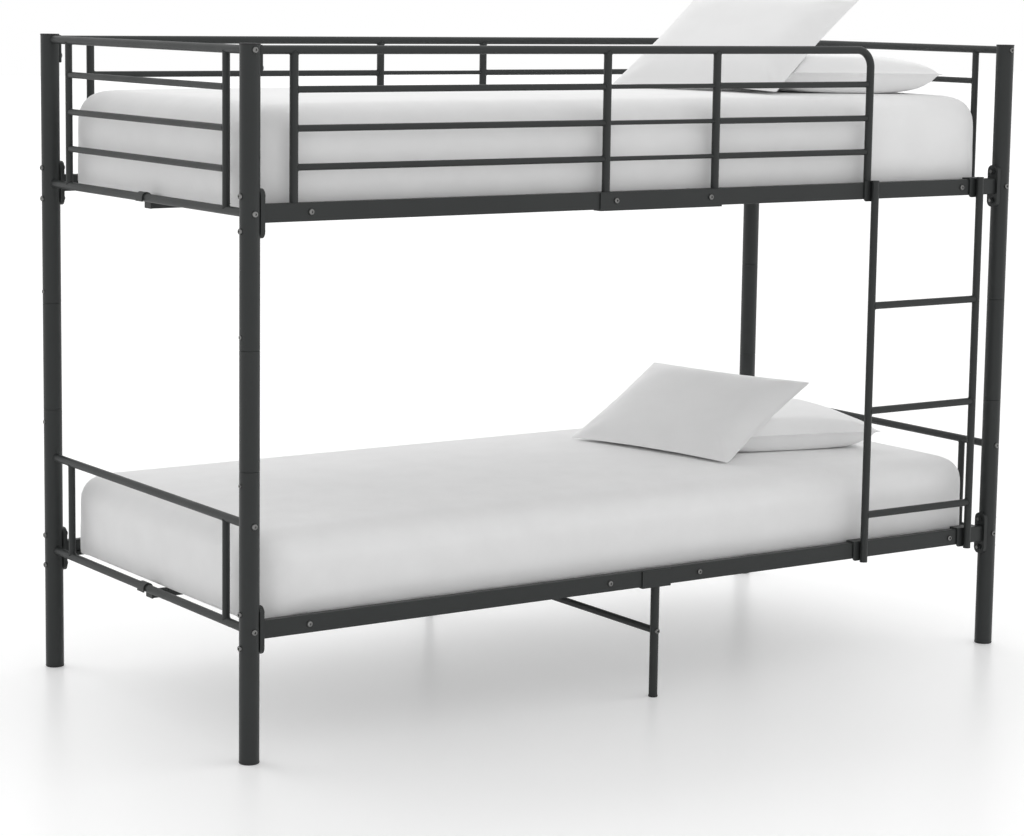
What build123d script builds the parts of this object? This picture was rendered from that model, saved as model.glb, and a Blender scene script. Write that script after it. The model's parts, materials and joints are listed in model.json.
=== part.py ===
"""Bunk bed: a bolted steel tube frame with two slatted bases, guards, a hook-on ladder and bedding."""
from build123d import *
from math import cos, radians, sin
import os

os.makedirs("parts", exist_ok=True)

# Driving sizes, in millimetres. X runs from the foot end to the head end of the bed,
# Y from the front to the rear and Z up from the floor, with the origin under the middle.
mattress_length = 2000.0
mattress_width = 900.0
mattress_end_gap = 25.0
mattress_side_gap = 23.0
post_span_x = mattress_length + 2 * mattress_end_gap
post_span_y = mattress_width + 2 * mattress_side_gap
lower_base_z = 277.0
upper_base_z = 1127.0
lower_seam_z = 606.0
upper_seam_z = 852.0
post_top_z = 1462.0
overrun = 5.0
fit_clearance = 0.25
running_clearance = 0.5
soft_clearance = 0.3

# Bolts and screws: a button head on a plain shank.
bolt_radius = 4.0
bolt_head_radius = 6.2
bolt_head_height = 4.2
bolt_head_bevel = 2.2
bolt_hole_radius = bolt_radius + fit_clearance
bolt_tail = 2.0
screw_radius = 2.5
screw_head_radius = 4.6
screw_head_height = 2.4
screw_head_bevel = 1.4
screw_hole_radius = screw_radius + fit_clearance

# Posts. Each stands in three sections, and the middle one has a swaged neck at both ends.
post_radius = 21.0
post_wall = 1.5
post_x = post_span_x / 2
post_y = post_span_y / 2
post_bore = post_radius - post_wall
foot_flange = 4.0
foot_bevel = 1.5
foot_overhang = 0.4
foot_plug_length = 18.0
cap_flange = 3.0
cap_bevel = 0.8
cap_overhang = 0.5
cap_plug_length = 5.0
plug_wall = 2.0
plug_radius = post_bore - fit_clearance
seam_bevel = 0.8
neck_length = 45.0
neck_shoulder = 9.0
neck_radius = post_bore - fit_clearance
neck_bore = neck_radius - post_wall
lower_screw_drop = 29.0
upper_screw_rise = 27.0
lower_screw_z = lower_seam_z - lower_screw_drop
upper_screw_z = upper_seam_z + upper_screw_rise

# End panels. Two rails bolt between the posts, two rods stand between the rails
# and, on the upper panels, three bars run from rod to rod.
rail_radius = 9.0
rail_plug_length = 24.0
rod_radius = 8.0
bar_radius = 7.0
rod_setback = 100.0
bar_low_rise = 83.5
bar_pitch = 82.5
bar_count = 3
top_rail_drop = 10.0
lower_panel_rise = 218.0
rod_y = post_y - rod_setback
top_rail_z = post_top_z - top_rail_drop
lower_panel_top_z = lower_base_z + lower_panel_rise
rail_heights = (lower_base_z, lower_panel_top_z, upper_base_z, top_rail_z)

# Side beams: rectangular tube in two halves, with a ledge inside that carries the slats.
beam_height = 38.0
beam_depth = 20.0
beam_wall = 1.5
beam_corner = 2.5
beam_joint_gap = 0.5
ledge_reach = 12.0
ledge_thickness = 2.0
beam_bolt_setback = 135.0
beam_front = post_y + beam_depth / 2
beam_inner = post_y - beam_depth / 2
beam_bolt_x = post_x - beam_bolt_setback

# Beam end brackets: a saddle against the post and a tongue inside the beam.
saddle_height = 100.0
saddle_width = 34.0
saddle_corner = 14.0
saddle_thickness = 5.0
saddle_wrap = 5.0
saddle_bolt_rise = 35.0
weld_nut_radius = 7.2
weld_nut_height = 5.5
tongue_length = 150.0
tongue_wall = 2.0
tongue_corner = 2.0
tongue_height = beam_height - 2 * beam_wall - 2 * fit_clearance
tongue_depth = beam_depth - 2 * beam_wall - 2 * fit_clearance
beam_bolt_length = beam_depth - 2 * beam_wall - tongue_wall
saddle_face = post_x - post_radius - saddle_thickness

# Middle joints of the side beams: an outer channel above, a sleeve inside the beam below.
joiner_left = 172.0
joiner_right = 162.0
joiner_thickness = 3.0
joiner_top_drop = 2.0
joiner_lip = 7.0
joiner_bolt_x = 130.0
sleeve_length = 320.0
sleeve_bolt_x = 125.0

# Slats, and the long beam under the middle of each base with its two end hooks.
slat_width = 30.0
slat_height = 16.0
slat_wall = 1.2
slat_corner = 2.0
slat_count = 13
slat_end_setback = 137.0
slat_pitch = (post_span_x - 2 * slat_end_setback) / (slat_count - 1)
slat_end_gap = 0.3
slat_top_rise = 8.0
slat_bottom_rise = slat_top_rise - slat_height
centre_beam_width = 25.0
centre_beam_height = 16.0
centre_beam_wall = 1.5
centre_beam_corner = 2.0
centre_hook_wall = 3.0
centre_hook_width = 30.0
centre_hook_lip = 8.0
centre_hook_corner = 2.5
centre_hook_seat = rail_radius + fit_clearance
centre_hook_reach = centre_hook_seat + centre_hook_wall
centre_beam_z_drop = -slat_bottom_rise + centre_beam_height / 2
centre_beam_low_drop = -slat_bottom_rise + centre_beam_height

# Guards of the upper bunk.
guard_rail_radius = 7.0
guard_low_rise = 90.0
guard_pitch = 78.0
guard_rail_count = 3
guard_end_setback = 100.0
guard_front_setback = 425.0
guard_end_upright_x = post_x - guard_end_setback
guard_front_end_x = post_x - guard_front_setback
guard_middle_upright_x = 150.0
guard_bend_radius = 40.0
guard_lap = 13.0
guard_pin_radius = 5.0
guard_pin_depth = 14.0
link_rod_radius = 5.0
link_plug_length = 30.0
socket_extra = 2.0
rail_socket_wall = 1.5
spigot_length = 34.0
spigot_radius = rail_radius - rail_socket_wall - fit_clearance
tab_height = 62.0
tab_width = 18.0
tab_corner = 4.0
tab_thickness = 3.5
tab_wrap = 1.5
tab_bolt_drop = 46.0
tab_bolt_length = 12.0
tab_bolt_z = post_top_z - tab_bolt_drop
tab_face = post_x - post_radius - tab_thickness
guard_seat_z = upper_base_z + beam_height / 2

# Ladder. Its four hooks hang over the side beams, and it lifts straight up off them.
stile_radius = 9.0
stile_wall = 1.5
stile_plug_length = 12.0
stile_plug_flange = 2.0
stile_weld = 1.0
rung_radius = 8.5
ladder_left_setback = 418.0
ladder_right_setback = 87.0
ladder_left_x = post_x - ladder_left_setback
ladder_right_x = post_x - ladder_right_setback
stile_bottom_drop = 25.0
rung_low_z = 363.0
rung_pitch = 248.0
rung_count = 3
hook_thickness = 3.0
hook_left_reach = 25.0
hook_right_reach = 16.0
hook_post_gap = 2.5
hook_bottom_drop = 5.0
hook_rear_drop = 9.0
hook_corner = 7.0
hook_back = beam_front + running_clearance
stile_y = -(hook_back + hook_thickness + stile_radius - stile_weld)
hook_top_rise = beam_height / 2 + soft_clearance + hook_thickness
stile_top_z = upper_base_z + hook_top_rise
stile_bottom_z = lower_base_z - stile_bottom_drop

# Middle legs under the lower bunk, with a channel that cups the side beam.
leg_x = 8.0
leg_radius = 10.0
leg_wall = 1.5
leg_bore = leg_radius - leg_wall
leg_channel_left = 37.0
leg_channel_right = 42.0
leg_channel_thickness = 3.0
leg_channel_top_drop = 2.0
leg_channel_lip = 7.0
leg_foot_flange = 4.0
leg_foot_overhang = 0.8
leg_foot_bevel = 1.0
leg_foot_plug_length = 14.0
leg_bar_radius = 8.0
leg_bar_plug_length = 20.0
leg_bar_z = 153.0

# Bedding.
lower_mattress_height = 182.0
upper_mattress_height = 205.0
mattress_corner = 42.0
mattress_crown = 14.0
mattress_bulge = 6.0
mattress_end_round = 48.0
mattress_round_shares = (0.0, 0.12, 0.4, 0.75, 1.0)
mattress_corner_limit_share = 0.45
pillow_edge = 2.5
pillow_swell = 5.0
pillow_draw = 14.0
pillow_slice_shares = (-1.0, -0.88, -0.6, -0.3, 0.0, 0.3, 0.6, 0.88, 1.0)
pillow_gap = 0.8
front_pillow_length = 482.0
rear_pillow_length = 500.0
rear_pillow_width = 450.0
pillow_thickness = 110.0
pillow_settle = 6.0
pillow_sink = 18.0
lower_front_pillow_width = 356.0
lower_front_pillow_setback = 703.0
lower_front_pillow_y = -24.0
lower_front_turn_degrees = -13.0
lower_front_lean_degrees = 27.3
lower_rear_pillow_setback = 342.0
lower_rear_pillow_y = 37.0
lower_rear_turn_degrees = -12.0
upper_front_pillow_width = 396.0
upper_front_pillow_setback = 666.0
upper_front_pillow_y = -110.0
upper_front_turn_degrees = -15.0
upper_front_lean_degrees = 35.2
upper_rear_pillow_setback = 288.0
upper_rear_pillow_y = -103.0
upper_rear_turn_degrees = -8.0

corners = {
    "foot_front": (-1, -1),
    "foot_rear": (-1, 1),
    "head_front": (1, -1),
    "head_rear": (1, 1),
}
sides = {"front": -1, "rear": 1}
halves = {"left": -1, "right": 1}
levels = {"lower": lower_base_z, "upper": upper_base_z}


def save(builder, name):
    """Label a finished piece and write it to its own file."""
    builder.part.label = name
    export_step(builder.part, f"parts/{name}.step")


def bar(start, end, radius, mode=Mode.ADD):
    """Add or cut a round bar from one point to another."""
    run = Vector(*end) - Vector(*start)
    with BuildSketch(Plane(origin=start, z_dir=run)) as section:
        Circle(radius)
    extrude(section.sketch, amount=run.length, mode=mode)


def box_tube(place, width, height, wall, corner, end_x):
    """Add a rectangular tube along X from a starting point to end_x."""
    with BuildSketch(Plane(origin=place, x_dir=(0, 1, 0), z_dir=(1, 0, 0))) as section:
        RectangleRounded(width, height, corner)
        Rectangle(width - 2 * wall, height - 2 * wall, mode=Mode.SUBTRACT)
    extrude(section.sketch, amount=end_x - place[0])


def turned(x, y, outline):
    """Turn a half outline of (radius, height) points about the upright axis at (x, y)."""
    with BuildSketch(Plane(origin=(x, y, 0), x_dir=(1, 0, 0), z_dir=(0, -1, 0))) as half:
        with BuildLine():
            Polyline(*outline, close=True)
        make_face()
    revolve(half.sketch, axis=Axis((x, y, 0), (0, 0, 1)))


def across(outline, start_x, end_x):
    """Extrude an outline of (y, z) points along X."""
    with BuildSketch(Plane(origin=(start_x, 0, 0), x_dir=(0, 1, 0), z_dir=(1, 0, 0))) as section:
        with BuildLine():
            Polyline(*outline, close=True)
        make_face()
    extrude(section.sketch, amount=end_x - start_x)


def cope(end, side):
    """Shape whatever is being built to the outside of one post."""
    x = end * post_x
    y = side * post_y
    bar((x, y, -overrun), (x, y, post_top_z + overrun), post_radius + fit_clearance, Mode.SUBTRACT)


def fastener(seat, direction, length, radius, head_radius, head_height, head_bevel):
    """Add a bolt or screw whose head sits on the seat and whose shank runs along the direction."""
    outward = -Vector(*direction)
    with BuildSketch(Plane(origin=seat, x_dir=outward, z_dir=(outward.Y, outward.Z, outward.X))) as half:
        with BuildLine():
            Polyline(
                (-length, 0),
                (-length, radius),
                (0, radius),
                (0, head_radius),
                (head_height - head_bevel, head_radius),
                (head_height, head_radius - head_bevel),
                (head_height, 0),
                close=True,
            )
        make_face()
    revolve(half.sketch, axis=Axis(seat, outward))


def bolt(seat, direction, length):
    """Add one of the frame bolts."""
    fastener(seat, direction, length, bolt_radius, bolt_head_radius, bolt_head_height, bolt_head_bevel)


# Posts

def post_holes(end, side, panel_heights, bracket_heights):
    """Drill a post section through for the panel bolts (along Y) and the bracket bolts (along X)."""
    x = end * post_x
    y = side * post_y
    reach = post_radius + overrun
    for z in panel_heights:
        bar((x, y - reach, z), (x, y + reach, z), bolt_hole_radius, Mode.SUBTRACT)
    for z in bracket_heights:
        bar((x - reach, y, z), (x + reach, y, z), bolt_hole_radius, Mode.SUBTRACT)


def screw_hole(end, side, z):
    """Drill the outer wall of a post section for the screw that locks the neck."""
    x = end * post_x
    y = side * post_y
    bar((x, y, z), (x + end * (post_radius + overrun), y, z), screw_hole_radius, Mode.SUBTRACT)


for corner_name, (end, side) in corners.items():
    centre_x = end * post_x
    centre_y = side * post_y

    with BuildPart() as lower_post:
        turned(centre_x, centre_y, [
            (post_bore, foot_flange),
            (post_radius, foot_flange),
            (post_radius, lower_seam_z - seam_bevel),
            (post_radius - seam_bevel, lower_seam_z),
            (post_bore, lower_seam_z),
        ])
        post_holes(
            end,
            side,
            (lower_base_z, lower_panel_top_z),
            (lower_base_z - saddle_bolt_rise, lower_base_z + saddle_bolt_rise),
        )
        screw_hole(end, side, lower_screw_z)
    save(lower_post, f"{corner_name}_lower_post")

    with BuildPart() as middle_post:
        turned(centre_x, centre_y, [
            (neck_radius, lower_seam_z - neck_length),
            (neck_radius, lower_seam_z),
            (post_radius - seam_bevel, lower_seam_z),
            (post_radius, lower_seam_z + seam_bevel),
            (post_radius, upper_seam_z - seam_bevel),
            (post_radius - seam_bevel, upper_seam_z),
            (neck_radius, upper_seam_z),
            (neck_radius, upper_seam_z + neck_length),
            (neck_bore, upper_seam_z + neck_length),
            (neck_bore, upper_seam_z),
            (post_bore, upper_seam_z - neck_shoulder),
            (post_bore, lower_seam_z + neck_shoulder),
            (neck_bore, lower_seam_z),
            (neck_bore, lower_seam_z - neck_length),
        ])
        screw_hole(end, side, lower_screw_z)
        screw_hole(end, side, upper_screw_z)
    save(middle_post, f"{corner_name}_middle_post")

    with BuildPart() as upper_post:
        turned(centre_x, centre_y, [
            (post_bore, upper_seam_z),
            (post_radius - seam_bevel, upper_seam_z),
            (post_radius, upper_seam_z + seam_bevel),
            (post_radius, post_top_z),
            (post_bore, post_top_z),
        ])
        post_holes(
            end,
            side,
            (upper_base_z, top_rail_z),
            (upper_base_z - saddle_bolt_rise, upper_base_z + saddle_bolt_rise),
        )
        screw_hole(end, side, upper_screw_z)
        if corner_name != "head_front":
            bar(
                (centre_x, centre_y, tab_bolt_z),
                (centre_x - end * (post_radius + overrun), centre_y, tab_bolt_z),
                bolt_hole_radius,
                Mode.SUBTRACT,
            )
    save(upper_post, f"{corner_name}_upper_post")

with BuildPart() as post_feet:
    for end, side in corners.values():
        turned(end * post_x, side * post_y, [
            (0, 0),
            (post_radius + foot_overhang - foot_bevel, 0),
            (post_radius + foot_overhang, foot_bevel),
            (post_radius + foot_overhang, foot_flange),
            (plug_radius, foot_flange),
            (plug_radius, foot_flange + foot_plug_length),
            (plug_radius - plug_wall, foot_flange + foot_plug_length),
            (plug_radius - plug_wall, foot_flange),
            (0, foot_flange),
        ])
save(post_feet, "post_feet")

with BuildPart() as post_top_caps:
    for end, side in corners.values():
        turned(end * post_x, side * post_y, [
            (0, post_top_z - cap_plug_length),
            (plug_radius, post_top_z - cap_plug_length),
            (plug_radius, post_top_z),
            (post_radius + cap_overhang, post_top_z),
            (post_radius + cap_overhang, post_top_z + cap_flange - cap_bevel),
            (post_radius + cap_overhang - cap_bevel, post_top_z + cap_flange),
            (0, post_top_z + cap_flange),
        ])
save(post_top_caps, "post_top_caps")


# End panels

def end_panel(end, bottom_z, top_z, bar_heights):
    """Weld one end panel: rails coped to the posts, standing rods, and bars between the rods."""
    x = end * post_x
    for z in (bottom_z, top_z):
        bar((x, -post_y, z), (x, post_y, z), rail_radius)
    for y in (-rod_y, rod_y):
        bar((x, y, bottom_z), (x, y, top_z), rod_radius)
    for z in bar_heights:
        bar((x, -rod_y, z), (x, rod_y, z), bar_radius)
    for side in sides.values():
        cope(end, side)
        drilled_y = side * (post_y - post_radius - rail_plug_length)
        for z in (bottom_z, top_z):
            bar((x, side * post_y, z), (x, drilled_y, z), bolt_hole_radius, Mode.SUBTRACT)


for end_name, end in {"foot": -1, "head": 1}.items():
    with BuildPart() as lower_panel:
        end_panel(end, lower_base_z, lower_panel_top_z, ())
    save(lower_panel, f"{end_name}_lower_panel")

    with BuildPart() as upper_panel:
        end_panel(
            end,
            upper_base_z,
            top_rail_z,
            [upper_base_z + bar_low_rise + bar_pitch * index for index in range(bar_count)],
        )
    save(upper_panel, f"{end_name}_upper_panel")

with BuildPart() as panel_bolts:
    for end, side in corners.values():
        for z in rail_heights:
            bolt(
                (end * post_x, side * (post_y + post_radius), z),
                (0, -side, 0),
                2 * post_radius + rail_plug_length - bolt_tail,
            )
save(panel_bolts, "panel_bolts")

with BuildPart() as section_screws:
    for end, side in corners.values():
        for z in (lower_screw_z, upper_screw_z):
            fastener(
                (end * (post_x + post_radius), side * post_y, z),
                (-end, 0, 0),
                2 * post_wall + bolt_tail,
                screw_radius,
                screw_head_radius,
                screw_head_height,
                screw_head_bevel,
            )
save(section_screws, "section_screws")


# Side beams

def side_beam(side, end, base_z, middle_bolt_x, pin_places):
    """Build half a side beam with its slat ledge, its bolt holes and the pin holes for the guard."""
    y = side * post_y
    box_tube(
        (end * beam_joint_gap / 2, y, base_z),
        beam_depth,
        beam_height,
        beam_wall,
        beam_corner,
        end * saddle_face,
    )
    ledge_top = base_z + slat_bottom_rise
    across(
        [
            (side * beam_inner, ledge_top),
            (side * (beam_inner - ledge_reach), ledge_top),
            (side * (beam_inner - ledge_reach), ledge_top - ledge_thickness),
            (side * beam_inner, ledge_top - ledge_thickness),
        ],
        end * beam_joint_gap / 2,
        end * saddle_face,
    )
    for x in (end * middle_bolt_x, end * beam_bolt_x):
        bar((x, y, base_z), (x, side * (beam_front + overrun), base_z), bolt_hole_radius, Mode.SUBTRACT)
    for x in pin_places:
        top = base_z + beam_height / 2
        bar((x, y, base_z), (x, y, top + overrun), guard_pin_radius + fit_clearance, Mode.SUBTRACT)


def guard_pins(side, end):
    """Places along one half of an upper beam where the guard uprights stand."""
    last_x = guard_front_end_x if (side, end) == (-1, 1) else guard_end_upright_x
    return [end * guard_middle_upright_x, end * last_x]


for side_name, side in sides.items():
    for half_name, end in halves.items():
        with BuildPart() as lower_beam:
            side_beam(side, end, lower_base_z, sleeve_bolt_x, ())
        save(lower_beam, f"lower_{side_name}_beam_{half_name}")

        with BuildPart() as upper_beam:
            side_beam(side, end, upper_base_z, joiner_bolt_x, guard_pins(side, end))
        save(upper_beam, f"upper_{side_name}_beam_{half_name}")


# Beam end brackets

def end_bracket(end, side, base_z):
    """Add one bracket: a saddle with two weld nuts and a tongue that fills the beam's end."""
    y = side * post_y
    face = Plane(origin=(end * saddle_face, y, base_z), x_dir=(0, 1, 0), z_dir=(end, 0, 0))
    with BuildSketch(face) as plate:
        RectangleRounded(saddle_width, saddle_height, saddle_corner)
    extrude(plate.sketch, amount=saddle_thickness + saddle_wrap)
    box_tube(
        (end * saddle_face, y, base_z),
        tongue_depth,
        tongue_height,
        tongue_wall,
        tongue_corner,
        end * (saddle_face - tongue_length),
    )
    for z in (base_z - saddle_bolt_rise, base_z + saddle_bolt_rise):
        with BuildSketch(Plane(origin=(end * saddle_face, y, z), z_dir=(-end, 0, 0))) as nut:
            RegularPolygon(weld_nut_radius, side_count=6)
        extrude(nut.sketch, amount=weld_nut_height)


def bracket_holes(end, side, base_z):
    """Cope the saddle to its post and drill the bracket for its bolts and the guard's pin."""
    y = side * post_y
    cope(end, side)
    for z in (base_z - saddle_bolt_rise, base_z + saddle_bolt_rise):
        inner_x = saddle_face - weld_nut_height - overrun
        bar((end * post_x, y, z), (end * inner_x, y, z), bolt_hole_radius, Mode.SUBTRACT)
    bolt_x = end * beam_bolt_x
    bar((bolt_x, y, base_z), (bolt_x, side * beam_front, base_z), bolt_hole_radius, Mode.SUBTRACT)
    if base_z == upper_base_z:
        pin_x = end * guard_end_upright_x
        top = base_z + beam_height / 2
        bar((pin_x, y, base_z), (pin_x, y, top), guard_pin_radius + fit_clearance, Mode.SUBTRACT)


for level_name, base_z in levels.items():
    with BuildPart() as beam_brackets:
        for end, side in corners.values():
            end_bracket(end, side, base_z)
            bracket_holes(end, side, base_z)
    save(beam_brackets, f"{level_name}_beam_brackets")

with BuildPart() as bracket_bolts:
    for end, side in corners.values():
        for base_z in levels.values():
            for z in (base_z - saddle_bolt_rise, base_z + saddle_bolt_rise):
                bolt(
                    (end * (post_x + post_radius), side * post_y, z),
                    (-end, 0, 0),
                    2 * post_radius + saddle_thickness + weld_nut_height + bolt_tail,
                )
save(bracket_bolts, "bracket_bolts")


# Middle joints of the side beams

def beam_channel(side, base_z, left_x, right_x, thickness, top_drop, lip):
    """Fold a channel that covers a beam's outer face, its underside and the foot of its inner face."""
    low = base_z - beam_height / 2
    high = base_z + beam_height / 2 - top_drop
    across(
        [
            (side * beam_front, high),
            (side * (beam_front + thickness), high),
            (side * (beam_front + thickness), low - thickness),
            (side * (beam_inner - thickness), low - thickness),
            (side * (beam_inner - thickness), low + lip),
            (side * beam_inner, low + lip),
            (side * beam_inner, low),
            (side * beam_front, low),
        ],
        left_x,
        right_x,
    )


for side_name, side in sides.items():
    with BuildPart() as joiner:
        beam_channel(
            side, upper_base_z, -joiner_left, joiner_right, joiner_thickness, joiner_top_drop, joiner_lip
        )
        for x in (-joiner_bolt_x, joiner_bolt_x):
            inner = (x, side * post_y, upper_base_z)
            outer = (x, side * (beam_front + joiner_thickness + overrun), upper_base_z)
            bar(inner, outer, bolt_hole_radius, Mode.SUBTRACT)
    save(joiner, f"upper_{side_name}_beam_joiner")

    with BuildPart() as sleeve:
        box_tube(
            (-sleeve_length / 2, side * post_y, lower_base_z),
            tongue_depth,
            tongue_height,
            tongue_wall,
            tongue_corner,
            sleeve_length / 2,
        )
        for x in (-sleeve_bolt_x, sleeve_bolt_x):
            bar(
                (x, side * post_y, lower_base_z),
                (x, side * beam_front, lower_base_z),
                bolt_hole_radius,
                Mode.SUBTRACT,
            )
    save(sleeve, f"lower_{side_name}_beam_sleeve")

with BuildPart() as beam_bolts:
    for side in sides.values():
        for end in halves.values():
            for base_z in levels.values():
                bolt((end * beam_bolt_x, side * beam_front, base_z), (0, -side, 0), beam_bolt_length)
            bolt((end * sleeve_bolt_x, side * beam_front, lower_base_z), (0, -side, 0), beam_bolt_length)
            bolt(
                (end * joiner_bolt_x, side * (beam_front + joiner_thickness), upper_base_z),
                (0, -side, 0),
                beam_bolt_length + joiner_thickness,
            )
save(beam_bolts, "beam_bolts")


# Slatted bases

def centre_beam(base_z):
    """Build the long beam with a hook over the bottom rail of each end panel."""
    inner_x = post_x - centre_hook_reach
    box_tube(
        (-inner_x, 0, base_z - centre_beam_z_drop),
        centre_beam_width,
        centre_beam_height,
        centre_beam_wall,
        centre_beam_corner,
        inner_x,
    )
    for end in halves.values():
        centre_hook(end, base_z)


def centre_hook(end, base_z):
    """Fold one end hook: a leg on the beam, an arch over the rail and a short lip beyond it."""
    foot = -centre_beam_low_drop
    with BuildSketch(Plane(origin=(end * post_x, 0, base_z), x_dir=(1, 0, 0), z_dir=(0, -1, 0))) as arch:
        with BuildLine():
            Line((-end * centre_hook_reach, foot), (-end * centre_hook_reach, 0))
            ThreePointArc((-end * centre_hook_reach, 0), (0, centre_hook_reach), (end * centre_hook_reach, 0))
            Line((end * centre_hook_reach, 0), (end * centre_hook_reach, -centre_hook_lip))
            Line((end * centre_hook_reach, -centre_hook_lip), (end * centre_hook_seat, -centre_hook_lip))
            Line((end * centre_hook_seat, -centre_hook_lip), (end * centre_hook_seat, 0))
            ThreePointArc((end * centre_hook_seat, 0), (0, centre_hook_seat), (-end * centre_hook_seat, 0))
            Line((-end * centre_hook_seat, 0), (-end * centre_hook_seat, foot))
            Line((-end * centre_hook_seat, foot), (-end * centre_hook_reach, foot))
        make_face()
    extrude(arch.sketch, amount=centre_hook_width / 2, both=True)


for level_name, base_z in levels.items():
    with BuildPart() as long_beam:
        centre_beam(base_z)
    save(long_beam, f"{level_name}_centre_beam")

    with BuildPart() as slats:
        slat_length = 2 * (beam_inner - slat_end_gap)
        slat_z = base_z + slat_top_rise - slat_height / 2
        first_x = -slat_pitch * (slat_count - 1) / 2
        for index in range(slat_count):
            x = first_x + slat_pitch * index
            with BuildSketch(
                Plane(origin=(x, -slat_length / 2, slat_z), x_dir=(1, 0, 0), z_dir=(0, 1, 0)),
                mode=Mode.PRIVATE,
            ) as slat:
                RectangleRounded(slat_width, slat_height, slat_corner)
                Rectangle(slat_width - 2 * slat_wall, slat_height - 2 * slat_wall, mode=Mode.SUBTRACT)
            extrude(slat.sketch, amount=slat_length)
    save(slats, f"{level_name}_slats")


# Guards

guard_heights = [upper_base_z + guard_low_rise + guard_pitch * index for index in range(guard_rail_count)]


def guard_upright(x, side, top_z):
    """Stand one upright on the beam, with a pin that drops into the beam's top."""
    y = side * post_y
    bar((x, y, guard_seat_z), (x, y, top_z), rail_radius)
    bar((x, y, guard_seat_z - guard_pin_depth), (x, y, guard_seat_z), guard_pin_radius)


def guard_sockets(side, end):
    """Open the ends of the rails at the middle uprights for the plug-in link rails."""
    y = side * post_y
    start_x = end * (guard_middle_upright_x - guard_lap)
    end_x = end * (guard_middle_upright_x - guard_lap + spigot_length + socket_extra)
    bar((start_x, y, top_rail_z), (end_x, y, top_rail_z), rail_radius - rail_socket_wall, Mode.SUBTRACT)
    for z in guard_heights:
        start_x = end * (guard_middle_upright_x - rail_radius - overrun)
        end_x = end * (guard_middle_upright_x + link_plug_length + socket_extra)
        bar((start_x, y, z), (end_x, y, z), link_rod_radius + fit_clearance, Mode.SUBTRACT)


def straight_guard(side, end):
    """Weld a guard section that ends in a bolted tab against a post."""
    y = side * post_y
    joint_x = end * (guard_middle_upright_x - guard_lap)
    bar((joint_x, y, top_rail_z), (end * tab_face, y, top_rail_z), rail_radius)
    for x in (end * guard_middle_upright_x, end * guard_end_upright_x):
        guard_upright(x, side, top_rail_z)
    for z in guard_heights:
        bar((end * guard_middle_upright_x, y, z), (end * guard_end_upright_x, y, z), guard_rail_radius)
    tab_z = post_top_z - tab_height / 2
    with BuildSketch(Plane(origin=(end * tab_face, y, tab_z), x_dir=(0, 1, 0), z_dir=(end, 0, 0))) as tab:
        RectangleRounded(tab_width, tab_height, tab_corner)
    extrude(tab.sketch, amount=tab_thickness + tab_wrap)
    cope(end, side)
    bar(
        (end * (tab_face - overrun), y, tab_bolt_z),
        (end * post_x, y, tab_bolt_z),
        bolt_hole_radius,
        Mode.SUBTRACT,
    )
    guard_sockets(side, end)


def bent_guard():
    """Weld the front guard section whose top rail bends down beside the ladder."""
    y = -post_y
    joint_x = guard_middle_upright_x - guard_lap
    with BuildLine(Plane(origin=(0, y, 0), x_dir=(1, 0, 0), z_dir=(0, -1, 0))) as path:
        FilletPolyline(
            (joint_x, top_rail_z),
            (guard_front_end_x, top_rail_z),
            (guard_front_end_x, guard_seat_z),
            radius=guard_bend_radius,
        )
    with BuildSketch(Plane(origin=(joint_x, y, top_rail_z), z_dir=(1, 0, 0))) as section:
        Circle(rail_radius)
    sweep(section.sketch, path=path.line)
    guard_upright(guard_middle_upright_x, -1, top_rail_z)
    pin_foot = (guard_front_end_x, y, guard_seat_z - guard_pin_depth)
    bar(pin_foot, (guard_front_end_x, y, guard_seat_z), guard_pin_radius)
    for z in guard_heights:
        bar((guard_middle_upright_x, y, z), (guard_front_end_x, y, z), guard_rail_radius)
    guard_sockets(-1, 1)


with BuildPart() as front_guard_left:
    straight_guard(-1, -1)
save(front_guard_left, "front_guard_left")

with BuildPart() as front_guard_right:
    bent_guard()
save(front_guard_right, "front_guard_right")

with BuildPart() as rear_guard_left:
    straight_guard(1, -1)
save(rear_guard_left, "rear_guard_left")

with BuildPart() as rear_guard_right:
    straight_guard(1, 1)
save(rear_guard_right, "rear_guard_right")

for side_name, side in sides.items():
    with BuildPart() as link_rails:
        joint_x = guard_middle_upright_x - guard_lap
        plug_x = joint_x + spigot_length
        bar((-joint_x, side * post_y, top_rail_z), (joint_x, side * post_y, top_rail_z), rail_radius)
        bar((-plug_x, side * post_y, top_rail_z), (plug_x, side * post_y, top_rail_z), spigot_radius)
        for z in guard_heights:
            end_x = guard_middle_upright_x + link_plug_length
            bar((-end_x, side * post_y, z), (end_x, side * post_y, z), link_rod_radius)
    save(link_rails, f"{side_name}_guard_link_rails")

with BuildPart() as guard_bolts:
    for end, side in ((-1, -1), (-1, 1), (1, 1)):
        bolt((end * tab_face, side * post_y, tab_bolt_z), (end, 0, 0), tab_bolt_length)
save(guard_bolts, "guard_bolts")


# Middle legs

for side_name, side in sides.items():
    with BuildPart() as centre_leg:
        beam_channel(
            side,
            lower_base_z,
            -leg_channel_left,
            leg_channel_right,
            leg_channel_thickness,
            leg_channel_top_drop,
            leg_channel_lip,
        )
        leg_top = lower_base_z - beam_height / 2 - leg_channel_thickness
        turned(leg_x, side * post_y, [
            (leg_bore, leg_foot_flange),
            (leg_radius, leg_foot_flange),
            (leg_radius, leg_top),
            (leg_bore, leg_top),
        ])
        reach = leg_radius + overrun
        bar(
            (leg_x, side * post_y - reach, leg_bar_z),
            (leg_x, side * post_y + reach, leg_bar_z),
            bolt_hole_radius,
            Mode.SUBTRACT,
        )
    save(centre_leg, f"{side_name}_centre_leg")

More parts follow.
